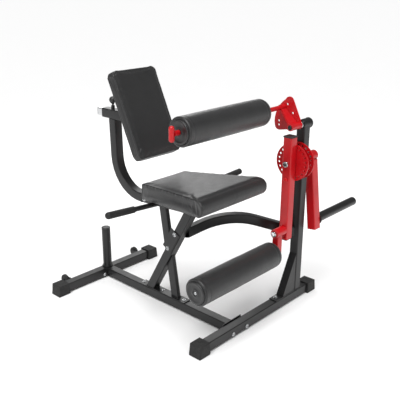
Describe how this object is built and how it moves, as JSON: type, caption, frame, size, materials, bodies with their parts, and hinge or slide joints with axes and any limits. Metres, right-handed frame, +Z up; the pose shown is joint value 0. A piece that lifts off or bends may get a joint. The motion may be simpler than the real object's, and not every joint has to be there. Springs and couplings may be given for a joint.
{
  "type": "seated leg extension and leg curl machine",
  "caption": "Plate-loaded seated leg extension and curl machine with a sliding backrest, foam leg rollers, selector discs and a weight arm on a black tube frame.",
  "frame": {"origin": "on the floor, under the middle of the bounding box at rest", "axes": "+X towards the lever and weight-peg side (the user's left), +Y towards the backrest, so the user faces -Y, +Z up"},
  "size_m": [1.493, 1.157, 1.2447],
  "materials": {
    "black_paint": "satin powder coat",
    "red_paint": "gloss powder coat",
    "vinyl": "matt grained upholstery vinyl over foam",
    "black_plastic": "moulded, fine texture",
    "rubber": "matt",
    "chrome": "bright plated",
    "board": "black stained board"
  },
  "bodies": {
    "frame": {"arch_brace": "black_paint", "back_post": "black_paint", "back_sleeve": "black_paint", "bearing_housing": "black_paint", "front_boot_left": "rubber", "front_boot_right": "rubber", "front_floor_bar": "black_paint", "front_joint_plate": "black_paint", "handle_bar_left": "black_paint", "handle_bar_right": "black_paint", "handle_grip_left": "rubber", "handle_grip_right": "rubber", "leg_base_plate": "black_paint", "leg_cross_plate": "black_paint", "long_leg": "black_paint", "main_floor_beam": "black_paint", "main_post": "black_paint", "plate_storage_post": "black_paint", "post_base_plate": "black_paint", "post_gusset": "black_paint", "rear_boot_left": "rubber", "rear_boot_right": "rubber", "rear_floor_bar": "black_paint", "seat_board": "board", "seat_cushion": "vinyl", "seat_rail": "black_paint", "short_leg_lower": "black_paint", "short_leg_upper": "black_paint", "storage_post_cap": "black_plastic", "top_barrel": "black_paint", "wheel_bracket_left": "black_paint", "wheel_bracket_right": "black_paint"},
    "lever": {"main_shaft": "chrome", "selector_disc_inner": "red_paint", "selector_disc_outer": "red_paint", "weight_arm": "red_paint", "weight_peg": "black_paint"},
    "start_arm": {"roller_arm": "red_paint", "arm_top_plug": "black_plastic", "ankle_pivot_bolt": "chrome"},
    "selector_pin_body": {"selector_pin": "red_paint"},
    "ankle_swivel": {"ankle_bracket": "red_paint", "ankle_roller_rod": "red_paint"},
    "ankle_roller": {"ankle_roller_foam": "vinyl", "ankle_roller_cap": "black_plastic"},
    "thigh_clamp": {"thigh_arm": "red_paint", "thigh_sector_plate": "red_paint", "thigh_pivot_pin": "black_paint", "thigh_spacer": "chrome", "thigh_roller_rod": "red_paint", "thigh_handle": "red_paint"},
    "thigh_roller": {"thigh_roller_foam": "vinyl", "thigh_roller_cap": "black_plastic"},
    "back_carriage": {"back_slide_tube": "chrome", "back_pad_bracket": "black_paint", "back_board": "board", "back_cushion": "vinyl"},
    "pull_pin_body": {"pull_pin": "black_plastic"},
    "wheel_right": {"transport_wheel_right": "rubber"},
    "wheel_left": {"transport_wheel_left": "rubber"}
  },
  "joints": [
    {"name": "main_pivot", "type": "hinge", "parent": "frame", "child": "lever", "pos_m": [0.24451, -0.4825, 0.797], "axis": [-1, 0, 0], "range_deg": [0, 95]},
    {"name": "start_angle", "type": "hinge", "parent": "lever", "child": "start_arm", "pos_m": [0.24451, -0.4825, 0.797], "axis": [-1, 0, 0], "range_deg": [0, 49.09]},
    {"name": "selector_pin_slide", "type": "slide", "parent": "start_arm", "child": "selector_pin_body", "axis": [-1, 0, 0], "range_m": [0, 0.03], "stiffness_N_per_m": 300, "springref_m": -0.01},
    {"name": "ankle_swivel_hinge", "type": "hinge", "parent": "start_arm", "child": "ankle_swivel", "pos_m": [0.07851, -0.4855, 0.445], "axis": [-1, 0, 0], "range_deg": [-25, 30]},
    {"name": "ankle_roller_spin", "type": "hinge", "parent": "ankle_swivel", "child": "ankle_roller", "pos_m": [-0.27149, -0.4855, 0.338], "axis": [1, 0, 0], "continuous": true},
    {"name": "thigh_clamp_hinge", "type": "hinge", "parent": "frame", "child": "thigh_clamp", "pos_m": [0.24451, -0.4825, 0.979], "axis": [-1, 0, 0], "range_deg": [-50, 40]},
    {"name": "thigh_roller_spin", "type": "hinge", "parent": "thigh_clamp", "child": "thigh_roller", "pos_m": [-0.27149, -0.3895, 1.06], "axis": [1, 0, 0], "continuous": true},
    {"name": "back_slide", "type": "slide", "parent": "frame", "child": "back_carriage", "axis": [0, -1, 0], "range_m": [-0.08, 0.07]},
    {"name": "pull_pin_lift", "type": "slide", "parent": "frame", "child": "pull_pin_body", "axis": [0, 0, 1], "range_m": [0, 0.012], "stiffness_N_per_m": 500, "springref_m": -0.01},
    {"name": "wheel_right_spin", "type": "hinge", "parent": "frame", "child": "wheel_right", "pos_m": [-0.53349, 0.5485, 0.04], "axis": [1, 0, 0], "continuous": true},
    {"name": "wheel_left_spin", "type": "hinge", "parent": "frame", "child": "wheel_left", "pos_m": [-0.00949, 0.5485, 0.04], "axis": [1, 0, 0], "continuous": true}
  ]
}
